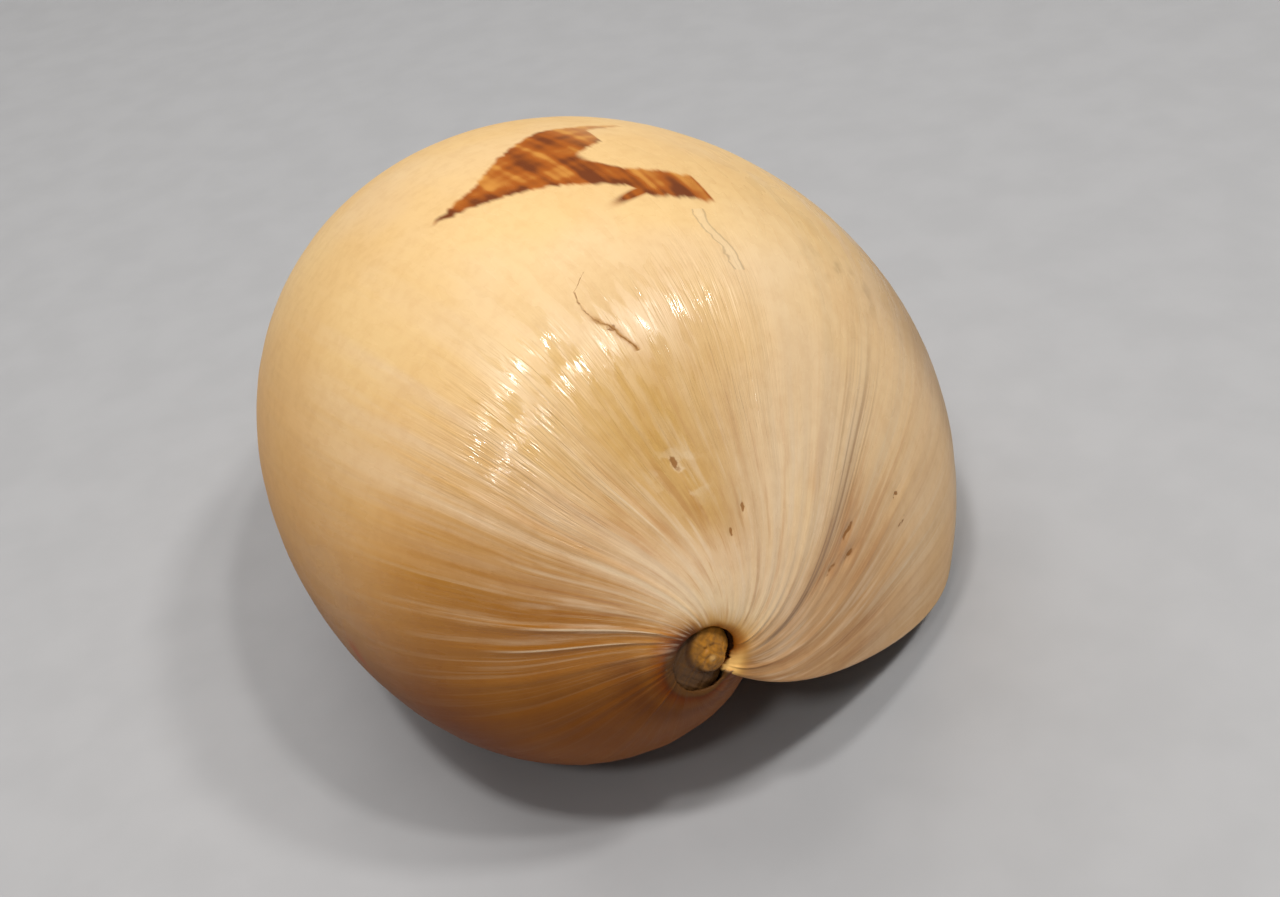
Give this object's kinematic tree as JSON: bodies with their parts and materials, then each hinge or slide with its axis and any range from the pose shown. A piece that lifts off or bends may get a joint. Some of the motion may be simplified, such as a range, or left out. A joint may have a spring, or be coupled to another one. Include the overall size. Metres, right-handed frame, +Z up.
{
  "type": "volute shell",
  "caption": "Large rounded volute shell lying on its mouth: one smooth flaring whorl wound round a sunken apex, hollow, with a wide open mouth.",
  "frame": {"origin": "centre of the bounding box in plan, on the surface the shell rests on", "axes": "+Z up; +Y along the shell's length towards its anterior end, with the apex towards -Y; +X towards the outer lip"},
  "size_m": [0.1322, 0.1786, 0.096],
  "materials": {
    "shell": "glossy glazed shell, cream to ochre, with fine growth streaks and one brown blotch"
  },
  "bodies": {
    "root": {"shell": "shell"}
  },
  "joints": []
}
